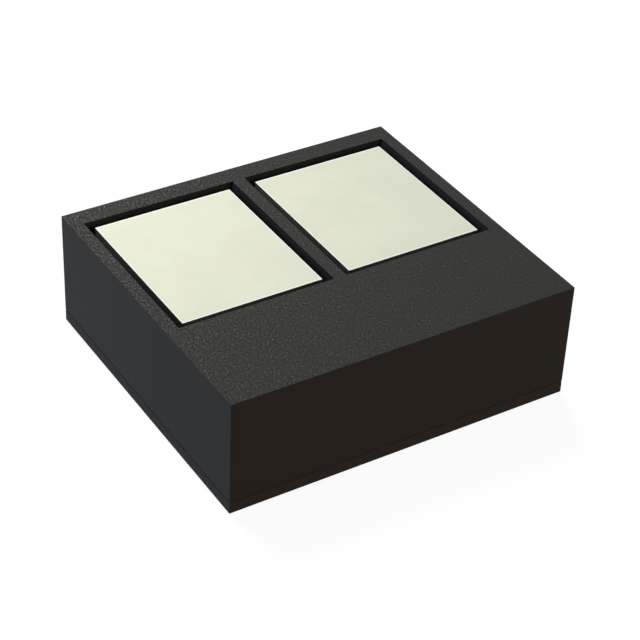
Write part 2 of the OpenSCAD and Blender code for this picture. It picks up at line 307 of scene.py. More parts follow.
# Moulded cap: near-black plastic. Its top has a fine spark-eroded grain with painted glints: bright specks
# that are strongest at the back left, as if lit from there. Its sides are smooth.
cap = {
    # Top and sides of one plastic in two tones, the top a third lighter: partly the grained finish, partly
    # painted light that makes the top lighter and the sides darker
    "top": (0.0360, 0.0357, 0.0338),
    "side": (0.0270, 0.0268, 0.0256),
    # Recess walls in a lighter, bluer tone than the sides: painted light
    "recess": (0.0310, 0.0330, 0.0335),
    "recessMargin": 0.01,         # mm past the outline of the filter's adhesive where the recess ends
    "paintedWallLight": (1.25, 0.65),    # painted light: parts of the recess's tone at wallDepth and at the top edge, lighter deep down and darker at the edge, which flattens the walls' shading
    "wallDepth": 0.13,            # mm
    "topBand": (0.003, 0.0015),   # mm below the top edge where the grain ends
    "tones": (0.4, 3.4),          # dark and light tone of the grain, as parts of the colour
    "mean": 0.188,                # share of the light tone where there is no grain
    "swing": 0.92,                # share that a grain adds or takes
    "paintedGlint": 8.5,               # painted glints: share of the light tone that the few highest grains add
    "grain": 0.033,               # mm, size of one grain
    "draw": (1, 1.35, 1),         # length of a grain across the draw, along it and upwards
    "drawAngle": -33,             # degrees
    "grainAndGlintFade": (-0.42, -0.25, 0.15),  # logarithm of the grain's strength, and its change per mm of x and y: painted glints and bump depth, strongest at the back left as if lit from there
    "patch": 0.22,                # mm, size of the patches in which the grain is stronger or weaker
    "patchEdge": (0.35, 0.65),    # part of the pattern in which a weak patch turns into a strong one
    "patchiness": (0.68, 1.32),   # strength of the grain in a weak patch and in a strong one
    "cloud": 1.6,                 # mm, size of the clouds in the tone
    "cloudSwing": 0.03,
    "grainDepth": 0.003,          # mm
    "sideGrain": 0.1,             # part of that depth everywhere
    "roughness": 0.45,
    "roughnessSwing": 0.2,
    "specular": 0.025,
}


def capFinish(look):
    finish, place = startFinish("cap_plastic")
    x, y, z = axes(place)
    top = boxOf("cap")[1][2]
    middle, half = middleAndHalf(*boxOf("filter_adhesive_right"))
    margin = look["recessMargin"]
    inRecess = inBox(abs(x), y, middle, half[:2] + margin, margin)
    onTop = rise(z, *(top - depth for depth in look["topBand"]))
    # Painted light on the recess walls changes with height
    paintedWallHeight = rise(z, top - look["wallDepth"], top)

    drawn = place.node("Mapping", {"vector_type": "TEXTURE"}, {
        "Vector": place, "Rotation": (0, 0, math.radians(look["drawAngle"])), "Scale": look["draw"]})
    grain = noise(drawn, look["grain"]) - 0.5
    peak = grain.maths("MAXIMUM", 0.0)
    # Painted glints: the grain's contrast in colour falls away from the back left, as if lit from there,
    # and the same strength sets the bump's depth
    base, alongX, alongY = look["grainAndGlintFade"]
    grainAndGlintStrength = (base + alongX * x + alongY * y).maths("EXPONENT") * onTop
    weak, strong = look["patchiness"]
    patch = weak + rise(noise(place, look["patch"], detail=1), *look["patchEdge"]) * (strong - weak)
    # Grain tone, with painted glints on the highest grains
    swing = (grain * look["swing"] + peak * peak * look["paintedGlint"]) * grainAndGlintStrength * patch
    cloud = (noise(place, look["cloud"]) - 0.5) * look["cloudSwing"]

    def toned(tone):
        # Every part of the cap in one tone, with the painted light of the top, the sides and the recess
        # walls
        wall = blend(paintedWallHeight, *(tinted(look["recess"], tone * part) for part in look["paintedWallLight"]))
        return blend(onTop, blend(inRecess, tinted(look["side"], tone), wall), tinted(look["top"], tone))

    dark, light = (toned(tone) for tone in look["tones"])
    return endFinish(finish, {
        "Base Color": blend(look["mean"] + swing + cloud, dark, light),
        "Roughness": look["roughness"] + grain * look["roughnessSwing"],
        "Specular IOR Level": look["specular"],
        "Normal": bump(grain * (grainAndGlintStrength + look["sideGrain"]), look["grainDepth"]),
    })


dress(nodes["cap"], capFinish(cap))

# Lands are landPitch apart along each side, with a land in the middle of every pitch
landLow, landHigh = boxOf("land_2")
landHalf = (landHigh - landLow) / 2
landX = -(landHigh[0] + landLow[0]) / 2
landPitch = landHigh[1] - boxOf("land_3")[1][1]


def alongLand(y):
    # Distance along the side from the middle of the nearest land
    return ((y * (1 / landPitch)).maths("FRACT") - 0.5) * landPitch


# Board: laminate with a black solder mask, bare round each land, and fine glass layers at its cut edge
board = {
    "mask": (0.0270, 0.0268, 0.0256),
    "maskTones": (0.93, 1.07),
    "peel": 0.12,                 # mm, size of the mask's waves
    # The cut edge is lighter than the mask: partly the laminate's own tone, partly painted light that makes
    # up for the shade near the floor
    "edge": (0.0298, 0.0296, 0.0289),
    "edgeTones": (0.9, 1.1),
    "layer": 0.045,               # mm, thickness of one glass layer
    # Pale rim round the upper face: painted light in the groove's shade
    "rim": (0.060, 0.059, 0.056),
    "rimWidth": 0.02,             # mm round the upper face, outside the seal, painted pale so that the shade of the groove under the seal is mostly cancelled
    "rimSoft": 0.002,             # mm
    "bare": (0.050, 0.043, 0.028),
    "bareTones": (0.75, 1.25),
    "bareWidth": 0.05,            # mm of bare laminate round a land
    "bareSoft": 0.008,            # mm
    "weave": 0.03,                # mm
    "rowEnd": 0.01,               # mm before the end of a row of lands where the bare laminate ends
    "faceBand": (0.004, 0.001),   # mm inside a face where the edge's finish turns into the face's
    "roughness": 0.5,
    "peelRoughness": 0.1,
    "bareRoughness": 0.15,
    "heights": (0.6, 0.1),        # of the mask's waves and of the glass layers, as parts of depth
    "depth": 0.004,               # mm
    "specular": 0.025,
}


def boardFinish(look):
    finish, place = startFinish("board_laminate")
    x, y, z = axes(place)
    low, high = boxOf("board")
    middle, half = middleAndHalf(low, high)
    far, near = look["faceBand"]
    onFace = rise(abs(z - middle[2]), half[2] - far, half[2] - near)
    below = 1 - rise(z, low[2] + near, low[2] + far)
    above = rise(z, high[2] - far, high[2] - near)
    # Painted light on the rim, where the groove under the seal is in shade
    onPaintedLightRim = (1 - inBox(x, y, middle, half[:2] - look["rimWidth"], look["rimSoft"])) * above
    inRow = 1 - rise(abs(y), 2 * landPitch - look["rowEnd"], 2 * landPitch)
    besideLand = inBox(abs(x), alongLand(y), (landX, 0), landHalf[:2] + look["bareWidth"], look["bareSoft"])
    bare = besideLand * inRow * below
    fibre = layered(place, 1, 1 / look["layer"])
    peel = noise(place, look["peel"])
    mask = mottled(peel, look["mask"], look["maskTones"])
    edge = mottled(fibre, look["edge"], look["edgeTones"])
    laminate = mottled(noise(place, look["weave"]), look["bare"], look["bareTones"])
    peelHeight, fibreHeight = look["heights"]
    return endFinish(finish, {
        "Base Color": blend(onFace, edge, blend(bare, blend(onPaintedLightRim, mask, look["rim"]), laminate)),
        "Roughness": around(look["roughness"], peel, look["peelRoughness"]) + bare * look["bareRoughness"],
        "Specular IOR Level": look["specular"],
        "Normal": bump(peel * peelHeight - bare + fibre * fibreHeight, look["depth"]),
    })


dress(nodes["board"], boardFinish(board))


def epoxyFinish(name, look):
    # Cast epoxy with small waves
    finish, place = startFinish(name)
    wave = noise(place, look["wave"], detail=3)
    return endFinish(finish, {
        "Base Color": mottled(wave, look["colour"], look["tones"]),
        "Roughness": around(look["roughness"], wave, look["roughnessSwing"]),
        "Specular IOR Level": look["specular"],
        "Normal": bump(wave, look["waveDepth"]),
    })


# Epoxy at the parting line, with small waves along its edge. It is about 1.7 times lighter than the
# plastic: painted light that offsets the shade in its groove.
seal = {
    "colour": (0.0455, 0.0450, 0.0434),
    "tones": (0.85, 1.15),
    "wave": 0.35,                 # mm
    "waveDepth": 0.006,           # mm
    "roughness": 0.4,
    "roughnessSwing": 0.2,
    "specular": 0.03,
}
dress(nodes["cap_seal"], epoxyFinish("seal_epoxy", seal))

# Filter plates: diced silicon with a pale interference coating on the upper face and its sawn edge
filterPlate = {
    "coating": (0.799, 0.816, 0.683),
    "shade": (0.771, 0.787, 0.659),
    "mottle": 0.8,                # mm, size of the patches of shade
    "mottleEdge": (0.3, 0.7),     # part of the pattern in which shade turns into coating
    # Painted highlight: a pale band round the coating, as if its edge caught the light
    "rim": (0.97, 0.985, 0.92),
    "rimWidth": (0.019, 0.030),   # mm of painted highlight along the sides, and along the front and back
    "rimSoft": 0.010,             # mm
    "silicon": (0.150, 0.151, 0.155),
    "paintedLightFront": (0.300, 0.275, 0.255),  # painted light on the silicon at the front edge, which lies in shade
    "frontBand": (0.006, 0.010),  # mm behind the front edge where that tone ends
    "sawnTones": (0.8, 1.2),
    "sawMarks": (0.2, 8),         # mm, size of the saw's marks, and how much thinner they are along z
    # Painted shade: a dark line along the sawn edge just under the coating
    "paintedShadeLine": (0.022, 0.0215, 0.0195),
    "coatingDepth": 0.005,        # mm of coating that shows at the sawn edge
    "coatingSoft": 0.002,         # mm
    "paintedShadeBand": (0.0234, 0.0126),  # mm under the coating where the painted shade line ends
    "chamfer": 0.003,             # mm
    "corner": 0.006,              # mm
    "roughness": 0.42,
    "roughnessSwing": 0.1,
    "smear": 0.3,                 # mm, size of the duller smears
    "specular": 0.05,
}


def filterFinish(look, node, side):
    finish, place = startFinish("filter_coating_" + side)
    x, y, z = axes(place)
    low, high = boxOf(node)
    middle, half = middleAndHalf(low, high)
    mottle = rise(noise(place, look["mottle"], detail=3, roughness=0.6), *look["mottleEdge"])
    face = inBox(x, y, middle, half[:2] - look["rimWidth"], look["rimSoft"])
    coatingEnd = high[2] - look["coatingDepth"]
    coated = rise(z, coatingEnd - look["coatingSoft"], coatingEnd)
    # Painted shade line just under the coating
    inPaintedShade = rise(z, *(coatingEnd - depth for depth in look["paintedShadeBand"]))
    # Painted light on the front edge of the silicon, which the recess's front wall shades
    atFront = 1 - rise(y, *(low[1] + depth for depth in look["frontBand"]))
    sawn = layered(place, *look["sawMarks"], detail=3)
    silicon, front = (mottled(sawn, look[part], look["sawnTones"]) for part in ("silicon", "paintedLightFront"))
    edge = blend(inPaintedShade, blend(atFront, silicon, front), look["paintedShadeLine"])
    # Coating with a painted highlight round its edge
    coat = blend(face, look["rim"], blend(mottle, look["shade"], look["coating"]))
    return endFinish(finish, {
        "Base Color": blend(coated, edge, coat),
        "Roughness": around(look["roughness"], noise(place, look["smear"]), look["roughnessSwing"]),
        "Specular IOR Level": look["specular"],
    })


def filterShape(look, node):
    # Plate with a small chamfer round its upper and lower face
    low, high = boxOf(node)
    chamfer, corner = look["chamfer"], look["corner"]
    lower = [(low[2], -chamfer, corner), (low[2] + chamfer, 0, corner)]
    upper = [(high[2] - chamfer, 0, corner), (high[2], -chamfer, corner)]
    return loft(rectangle(low, high), lower + upper)


for side in ("left", "right"):
    node = "filter_" + side
    finish = filterFinish(filterPlate, node, side)
    makePiece("coated_" + node, [filterShape(filterPlate, node)], finish, "filter_coating", node, sharp=30)
print("filters made")

# Adhesive under and round each filter, with a hollow meniscus between the plate and the recess's wall
bead = {
    "colour": (0.012, 0.012, 0.0125),
    "tones": (0.75, 1.3),
    "wave": 0.25,                 # mm
    "waveDepth": 0.006,           # mm
    "roughness": 0.32,
    "roughnessSwing": 0.25,
    "specular": 0.1,
    "dip": 0.050,                 # mm, how far the meniscus hangs between its two edges
    "steps": 8,                   # across the meniscus
    "arcSteps": 6,                # round a corner
    "corner": 0.004,              # mm
    "apertureCorner": 0.12,       # mm
    "underPlate": 0.25,           # mm from the plate's edge to the aperture
}


def beadShape(look, side):
    # Ring of one profile, as (height, distance out from the plate's edge): along the ledge, up the wall,
    # over the meniscus, which is a parabola top - 4 dip s (1 - s), then down the plate's side and under it
    low, high = boxOf("filter_adhesive_" + side)
    plateLow, plateHigh = boxOf("filter_" + side)
    gap = high[0] - plateHigh[0]
    inner, corner = (-look["underPlate"], look["apertureCorner"]), look["corner"]
    s = np.linspace(1, 0, look["steps"] + 1)
    hollow = np.stack([high[2] - 4 * look["dip"] * s * (1 - s), s * gap, np.full(len(s), corner)], 1)
    ledge = [(low[2], *inner), (low[2], gap, corner)]
    under = [(plateLow[2], 0, corner), (plateLow[2], *inner)]
    levels = np.concatenate([ledge, hollow, under])
    return loft(rectangle(plateLow, plateHigh), levels, look["arcSteps"], hollow=True)


beadEpoxy = epoxyFinish("filter_bond", bead)
for side in ("left", "right"):
    node = "filter_adhesive_" + side
    makePiece("filter_bead_" + side, [beadShape(bead, side)], beadEpoxy, "filter_bond", node)
print("filter beads made")

# Plated and soldered metals: the size of their crystals and the depth of these are in millimetres
metals = {
    "land_gold": {"colour": (0.80, 0.57, 0.25), "paler": (0.86, 0.66, 0.34),
                  "grain": 0.018, "depth": 0.0012, "roughness": 0.32},
    "bond_wire": {"colour": (0.86, 0.62, 0.26), "paler": (0.93, 0.72, 0.38),
                  "grain": 0.006, "depth": 0.0003, "roughness": 0.22},
    "tin": {"colour": (0.72, 0.72, 0.71), "paler": (0.84, 0.84, 0.83),
            "grain": 0.010, "depth": 0.001, "roughness": 0.34},
    "solder": {"colour": (0.66, 0.67, 0.69), "paler": (0.80, 0.81, 0.83),
               "grain": 0.020, "depth": 0.0008, "roughness": 0.24},
}
crystals = {
    "cloud": 14,                  # crystals across one cloud
    "cloudEdge": (0.25, 0.75),    # part of the pattern in which the colour turns paler
    "tones": (0.6, 0.4),          # shares of the clouds and of the crystals in the colour
    "roughness": (0.22, 0.12),    # swing that the clouds and the crystals give it
    "lumpiness": 0.6,
}


def metalFinish(name, metal, look):
    # Fine crystal grain, soft clouds of a paler tone and a few duller smears
    finish, place = startFinish(name)
    crystal = noise(place, metal["grain"], roughness=look["lumpiness"])
    cloud = noise(place, metal["grain"] * look["cloud"], detail=3, roughness=look["lumpiness"])
    cloudTone, crystalTone = look["tones"]
    tone = rise(cloud, *look["cloudEdge"]) * cloudTone + crystal * crystalTone
    cloudSwing, crystalSwing = look["roughness"]
    return endFinish(finish, {
        "Base Color": blend(tone, metal["colour"], metal["paler"]),
        "Roughness": around(around(metal["roughness"], cloud, cloudSwing), crystal, crystalSwing),
        "Metallic": 1.0,
        "Normal": bump(crystal, metal["depth"]),
    })


landGold, bondGold, tin, solder = (metalFinish(name, metal, crystals) for name, metal in metals.items())

# Gold-plated lands, with the soft edges that etching and plating leave
land = {
    "corner": 0.035,              # mm
    "ease": 0.009,                # mm
    "easeSteps": 3,
    "arcSteps": 4,                # round a corner
    "cut": 0.22,                  # mm, corner that is left out of the first land
}


def landShape(look, node):
    low, high = boxOf(node)
    corners = rectangle(low, high)
    if node == "land_1":
        corners[2:3] = [(high[0], high[1] - look["cut"]), (high[0] - look["cut"], high[1])]
    a, ease, corner = quarterTurn(look["easeSteps"])[::-1], look["ease"], look["corner"]
    lower = np.stack([low[2] + ease * (1 - np.sin(a)), ease * (np.cos(a) - 1), np.full(len(a), corner)], 1)
    return loft(corners, [*lower, (high[2], 0, corner)], look["arcSteps"])


for number in range(1, 9):
    node = f"land_{number}"
    makePiece("gold_" + node, [landShape(land, node)], landGold, "land_gold", node, sharp=50)
print("lands made")

# Copper vias: plated wall round a filled middle
via = {
    "wall": (0.72, 0.38, 0.24),
    "fill": (0.62, 0.34, 0.22),
    "bore": 0.07,                 # mm, radius of the filling
    "boreSoft": 0.006,            # mm
    "tarnish": 0.04,              # mm, size of its spots
    "tones": (0.8, 0.2),          # shares of the filling and of the tarnish in the colour
    "roughness": 0.3,
    "fillRoughness": 0.15,
    "tarnishRoughness": 0.2,
    "tarnishHeight": 0.3,         # as a part of depth
    "depth": 0.003,               # mm
}


def viaFinish(look):
    finish, place = startFinish("via_copper")
    x, y, z = axes(place)
    fromAxis = place.node("CombineXYZ", {}, {0: abs(x) - landX, 1: alongLand(y), 2: 0.0})
    radius = fromAxis.node("VectorMath", {"operation": "LENGTH"}, {0: fromAxis}, 1)
    inFill = 1 - rise(radius, look["bore"] - look["boreSoft"], look["bore"] + look["boreSoft"])
    tarnish = noise(place, look["tarnish"], detail=3)
    fillTone, tarnishTone = look["tones"]
    roughness = look["roughness"] + inFill * look["fillRoughness"]
    return endFinish(finish, {
        "Base Color": blend(inFill * fillTone + tarnish * tarnishTone, look["wall"], look["fill"]),
        "Roughness": around(roughness, tarnish, look["tarnishRoughness"]),
        "Metallic": 1.0,
        "Normal": bump(tarnish * look["tarnishHeight"] - inFill, look["depth"]),
    })


dress(nodes["board_vias"], viaFinish(via))

# Silicon chips: passivated upper face with a guard ring, aluminium bond pads and tracks, and sawn sides
chip = {
    "face": (0.085, 0.095, 0.135),
    "faceTint": (0.120, 0.110, 0.150),
    "tint": 0.5,                  # mm, size of the patches of faceTint
    "faceBand": (0.004, 0.002),   # mm below the upper face where the sides' finish ends
    "membrane": (0.115, 0.085, 0.150),
    "pocketHalf": 0.65,           # mm, half of the membrane's side
    "boxSoft": 0.01,              # mm
    "side": (0.105, 0.110, 0.120),
    "sawnTones": (0.75, 1.25),
    "sawMarks": (0.15, 10),       # mm, size of the saw's marks, and how much thinner they are along z
    "metal": (0.74, 0.75, 0.77),
    "metalSoft": 0.004,           # mm
    "padHalf": 0.048,             # mm, half of a bond pad's side
    "trackHalf": 0.014,           # mm, half of a track's width
    "detectorTrackEnd": -0.53,    # mm from the chip's middle, at the film
    "readoutTrackEnd": 0.45,      # part of the way from the chip's middle to its pads
    "ringInset": 0.05,            # mm from the chip's edge to its guard ring
    "ringHalf": 0.008,            # mm
    "ringSoft": 0.003,            # mm
    "sideRoughness": 0.45,
    "faceGloss": 0.25,            # taken from the roughness on the upper face
    "metalRoughness": 0.12,
    "tintRoughness": 0.05,
    "metallic": 0.9,
    "metalHeight": 0.4,           # as a part of depth
    "depth": 0.0015,              # mm
}
circuit = {
    "inset": 0.16,                # mm from the readout chip's edge to its circuit
    "block": (0.16, 0.07),        # mm
    "gap": 0.008,                 # mm
    "tones": (0.2, 0.75, 0.45),   # of dark blocks, light blocks and the gaps
    "bias": 0.1,
    "offset": 0.37,
    "squash": 1.4,
    "squashEvery": 3,
    "share": 0.8,
    "brightness": 1.7,            # as a multiple of the membrane's colour
}
bondPlaces = {
    "inset": 0.08,                # mm from the chip's edge to the middle of a ball
    "detector": (-0.3, 0.3),
    "readout": (-0.75, -0.25, 0.25, 0.75),
}


def circuitBlocks(look, place):
    # Rows of blocks in several tones, as on a small integrated circuit
    dark, light, gap = ((tone,) * 3 for tone in look["tones"])
    settings = {"offset": look["offset"], "squash": look["squash"], "squash_frequency": look["squashEvery"]}
    return place.node("TexBrick", settings, {
        "Vector": place, "Color1": dark, "Color2": light, "Mortar": gap, "Scale": 1.0, "Bias": look["bias"],
        "Mortar Size": look["gap"], "Brick Width": look["block"][0], "Row Height": look["block"][1]})


def chipFinish(look, name, node, pads, tracks, hasMembrane):
    finish, place = startFinish(name)
    x, y, z = axes(place)
    low, high = boxOf(node)
    middle, half = middleAndHalf(low, high)
    fromX, fromY = x - middle[0], y - middle[1]

    def area(centre, extent, soft):
        # A rectangle on the chip, seen from the chip's middle
        return inBox(fromX, fromY, centre, extent, soft)

    onFace = rise(z, *(high[2] - depth for depth in look["faceBand"]))
    tint = noise(place, look["tint"])
    face = blend(tint, look["face"], look["faceTint"])
    if hasMembrane:
        membrane = area((0, 0), (look["pocketHalf"],) * 2, look["boxSoft"])
        face = blend(membrane, face, look["membrane"])
    else:
        core = area((0, 0), half[:2] - circuit["inset"], look["boxSoft"])
        blocks = core * circuitBlocks(circuit, place) * circuit["share"]
        face = blend(blocks, face, tinted(look["membrane"], circuit["brightness"]))
    ring = half[:2] - look["ringInset"]
    outer = area((0, 0), ring + look["ringHalf"], look["ringSoft"])
    inner = area((0, 0), ring - look["ringHalf"], look["ringSoft"])
    metal = outer - inner
    for pad in pads:
        metal = metal.maths("MAXIMUM", area(pad, (look["padHalf"],) * 2, look["metalSoft"]))
    for trackX, trackLow, trackHigh in tracks:
        trackMiddle, trackHalf = middleAndHalf(trackLow, trackHigh)
        track = area((trackX, trackMiddle), (look["trackHalf"], trackHalf), look["metalSoft"])
        metal = metal.maths("MAXIMUM", track)
    metal = metal * onFace
    sawn = layered(place, *look["sawMarks"], detail=3)
    side = mottled(sawn, look["side"], look["sawnTones"])
    roughness = look["sideRoughness"] - onFace * look["faceGloss"] + metal * look["metalRoughness"]
    return endFinish(finish, {
        "Base Color": blend(metal, blend(onFace, side, face), look["metal"]),
        "Roughness": around(roughness, tint, look["tintRoughness"]),
        "Metallic": metal * look["metallic"],
        "Normal": bump(metal * look["metalHeight"] + sawn * (1 - onFace), look["depth"]),
    })


for side in ("left", "right"):
    node = "detector_chip_" + side
    low, high = boxOf(node)
    padY = bondPlaces["inset"] - (high[1] - low[1]) / 2
    pads = [(x, padY) for x in bondPlaces["detector"]]
    tracks = [(x, padY, chip["detectorTrackEnd"]) for x in bondPlaces["detector"]]
    dress(nodes[node], chipFinish(chip, "silicon_detector_" + side, node, pads, tracks, True))
low, high = boxOf("readout_chip")
padY = (high[1] - low[1]) / 2 - bondPlaces["inset"]
pads = [(x, y) for x in bondPlaces["readout"] for y in (-padY, padY)]
tracks = [(x, *sorted((y, y * chip["readoutTrackEnd"]))) for x, y in pads]
dress(nodes["readout_chip"], chipFinish(chip, "silicon_readout", "readout_chip", pads, tracks, False))
print("chips finished")

# Pyroelectric film: dark absorber inside a thin metal electrode border
film = {
    "absorber": (0.060, 0.050, 0.038),
    "fleck": (0.115, 0.098, 0.070),
    "pore": 0.016,                # mm
    "fleckEdge": (0.35, 0.75),    # part of the pattern in which absorber turns into fleck
    "electrode": (0.62, 0.60, 0.55),
    "border": 0.045,              # mm
    "borderSoft": 0.006,          # mm
    "roughness": 0.3,
    "absorberRoughness": 0.45,    # added on the absorber
    "metallic": 0.9,
    "depth": 0.003,               # mm
}


def filmFinish(look, node):
    finish, place = startFinish(node)
    x, y, z = axes(place)
    middle, half = middleAndHalf(*boxOf(node))
    inner = inBox(x, y, middle, half[:2] - look["border"], look["borderSoft"])
    porous = noise(place, look["pore"], detail=3, roughness=0.7)
    absorber = blend(rise(porous, *look["fleckEdge"]), look["absorber"], look["fleck"])
    return endFinish(finish, {
        "Base Color": blend(inner, look["electrode"], absorber),
        "Roughness": look["roughness"] + inner * look["absorberRoughness"],
        "Metallic": look["metallic"] - inner * look["metallic"],
        "Normal": bump(porous * inner, look["depth"]),
    })


for node in ("sensing_film_left", "sensing_film_right"):
    dress(nodes[node], filmFinish(film, node))

# Silver-filled adhesive under the chips
chipBond = {
    "resin": (0.42, 0.41, 0.38),
    "flake": (0.78, 0.77, 0.74),
    "flakeSize": 0.012,           # mm
    "flakeEdge": (0.5, 0.62),     # part of the pattern in which resin turns into flake
    "wave": 0.15,                 # mm
    "roughness": 0.5,
    "flakeGloss": 0.15,           # taken from the roughness on a flake
    "metallic": 0.7,
    "flakeHeight": 0.2,           # as a part of depth
    "depth": 0.004,               # mm
}


def chipBondFinish(look):
    finish, place = startFinish("chip_bond")
    flake = rise(noise(place, look["flakeSize"], roughness=0.6), *look["flakeEdge"])
    wave = noise(place, look["wave"])
    return endFinish(finish, {
        "Base Color": blend(flake, look["resin"], look["flake"]),
        "Roughness": look["roughness"] - flake * look["flakeGloss"],
        "Metallic": flake * look["metallic"],
        "Normal": bump(wave + flake * look["flakeHeight"], look["depth"]),
    })


silverEpoxy = chipBondFinish(chipBond)
for node in ("detector_adhesive_left", "detector_adhesive_right", "readout_adhesive"):
    dress(nodes[node], silverEpoxy)
print("films and adhesives finished")

# Bond wires: flattened ball, neck, loop and a spread foot. In its plane a wire is the cubic
# 3t(1-t)^2 (0, handle) + 3t^2(1-t) (reach, loop - drop/2) + t^3 (reach, -drop), run along and height.
bond = {
    "wire": 0.0125,               # mm, radius
    "ball": 0.030,                # mm, radius
    "ballHeight": 0.020,          # mm
    "ballHeights": (0, 0.25, 0.5, 0.75, 1),      # of its rings, as parts of ballHeight
    "ballRadii": (0.80, 0.98, 1.0, 0.95, 0.72),  # of its rings, as parts of ball
    "neck": 0.010,                # mm
    "reach": 0.225,               # mm from the ball to the foot
    "loop": 0.12,                 # mm
    "handle": 0.30,               # mm
    "foot": 2.0,                  # radius of the foot in wire radii
    "footStart": 0.93,            # t from which the wire spreads
    "steps": 28,
    "sides": 12,
}


def wireShape(look, ball, towards, padTop):
    t = np.linspace(0, 1, look["steps"] + 1)
    chipTop = ball[2]
    start = chipTop + look["ballHeight"] + look["neck"]
    drop = start - padTop
    first, second, third = 3 * t * (1 - t) ** 2, 3 * t ** 2 * (1 - t), t ** 3
    run = second * look["reach"] + third * look["reach"]
    climb = first * look["handle"] + second * (look["loop"] - drop / 2) - third * drop
    ballHeights, ballRadii = np.array(look["ballHeights"]), np.array(look["ballRadii"])
    along = np.concatenate([np.zeros(len(ballRadii)), run])
    height = np.concatenate([chipTop + ballHeights * look["ballHeight"], start + climb])
    spread = np.clip((t - look["footStart"]) / (1 - look["footStart"]), 0, 1) ** 2
    radii = np.concatenate([ballRadii * look["ball"], look["wire"] * (1 + (look["foot"] - 1) * spread)])
    up, out = np.array([0, 0, 1.0]), np.array([*towards, 0.0])
    path = np.array([ball[0], ball[1], 0]) + along[:, None] * out + height[:, None] * up
    return tube(path, radii, np.cross(up, out), look["sides"])


def makeWires(name, node, balls):
    # One piece from the wires of a chip. A ball is its place and the direction of its wire.
    padTop = boxOf("bond_fingers")[1][2]
    wires = [wireShape(bond, place, towards, padTop) for place, towards in balls]
    makePiece(name, wires, bondGold, "bond_wire", node)
    return balls


front, back = (0, -1), (0, 1)
balls = []
for side in ("left", "right"):
    low, high = boxOf("detector_chip_" + side)
    middleX, frontY = (low[0] + high[0]) / 2, low[1] + bondPlaces["inset"]
    chipBalls = [((middleX + x, frontY, high[2]), front) for x in bondPlaces["detector"]]
    balls += makeWires("gold_wires_" + side, "detector_wires_" + side, chipBalls)
low, high = boxOf("readout_chip")
rows = (low[1] + bondPlaces["inset"], front), (high[1] - bondPlaces["inset"], back)
chipBalls = [((x, y, high[2]), towards) for x in bondPlaces["readout"] for y, towards in rows]
balls += makeWires("gold_wires_readout", "readout_wires", chipBalls)

# Bond fingers on the board, one under each wire's foot
finger = {"half": (0.07, 0.075), "corner": 0.02, "ease": 0.005}


def fingerShape(look, ball, towards, low, high):
    middle = np.array(ball[:2]) + np.array(towards) * bond["reach"]
    half = np.array(look["half"])
    return easedSlab(rectangle(middle - half, middle + half), low, high, look["ease"], look["corner"])


low, high = boxOf("bond_fingers")
fingers = [fingerShape(finger, ball, towards, low[2], high[2]) for ball, towards in balls]
makePiece("gold_fingers", fingers, landGold, "land_gold", "bond_fingers", sharp=50)
print("wires and fingers made")

# Ceramic capacitors: body with worn edges, tinned end caps, pads and hollow solder fillets
capacitor = {
    "bodyEase": 0.012,            # mm, rounding of the body
    "ease": 0.022,                # mm, rounding of an end cap
    "easeSteps": 3,
    "skin": 0.02,                 # mm, wall of an end cap
    "skinCorner": 0.004,          # mm
    "lip": 0.006,                 # mm, chamfer of its open rim
    "endLength": 0.15,            # mm
    "padReach": 0.10,             # mm
    "padCorner": 0.02,            # mm
    "padEase": 0.005,             # mm
    "solderHeight": 0.14,         # mm
    "solderSteps": (12, 8),       # across a fillet and up it
    "solderShrink": (0.35, 0.25),  # parts of its reach and height that are missing at its sides
    "ceramic": (0.250, 0.165, 0.100),
    "ceramicTint": (0.330, 0.225, 0.140),
    "speck": 0.010,               # mm
    "layers": (0.4, 40),          # mm, size of the blobs in a layer, and how much thinner they are
    "tones": (0.6, 0.4),          # shares of the specks and of the layers in the colour
    "roughness": 0.55,
    "roughnessSwing": 0.2,
    "layerHeight": 0.3,           # as a part of depth
    "depth": 0.0012,              # mm
    "specular": 0.35,
}


def ceramicFinish(look):
    finish, place = startFinish("capacitor_ceramic")
    speck = noise(place, look["speck"], detail=3, roughness=0.6)
    layers = layered(place, *look["layers"], detail=1)
    speckTone, layerTone = look["tones"]
    return endFinish(finish, {
        "Base Color": blend(speck * speckTone + layers * layerTone, look["ceramic"], look["ceramicTint"]),
        "Roughness": around(look["roughness"], speck, look["roughnessSwing"]),
        "Specular IOR Level": look["specular"],
        "Normal": bump(speck + layers * look["layerHeight"], look["depth"]),
    })


def endShape(look, low, high, outwards):
    # Cup over one end: from its floor along its wall to the open rim, out over the rim and back along the
    # outside to a round-edged end face. Its own z points out of the end.
    endY = high[1] if outwards > 0 else low[1]
    length, ease, lip = look["endLength"], look["ease"], look["lip"]
    inside = [(z, -look["skin"], look["skinCorner"]) for z in (-look["skin"], -length)]
    rim = [(-length, -lip, ease), (lip - length, 0, ease)]
    a = quarterTurn(look["easeSteps"])
    outside = np.stack([-ease * (1 - np.sin(a)), -ease * (1 - np.cos(a)), np.full(len(a), ease)], 1)
    middle, half = middleAndHalf(low[[0, 2]], high[[0, 2]])
    if outwards > 0:      # own x, y and z lie along Z, X and Y
        outline, directions = rectangle(-half[::-1], half[::-1]), [(0, 0, 1), (1, 0, 0), (0, 1, 0)]
    else:                 # own x, y and z lie along X, Z and -Y
        outline, directions = rectangle(-half, half), [(1, 0, 0), (0, 0, 1), (0, -1, 0)]
    cup = loft(outline, np.concatenate([inside, rim, outside]))
    return turned(cup, (middle[0], endY, middle[1]), directions)


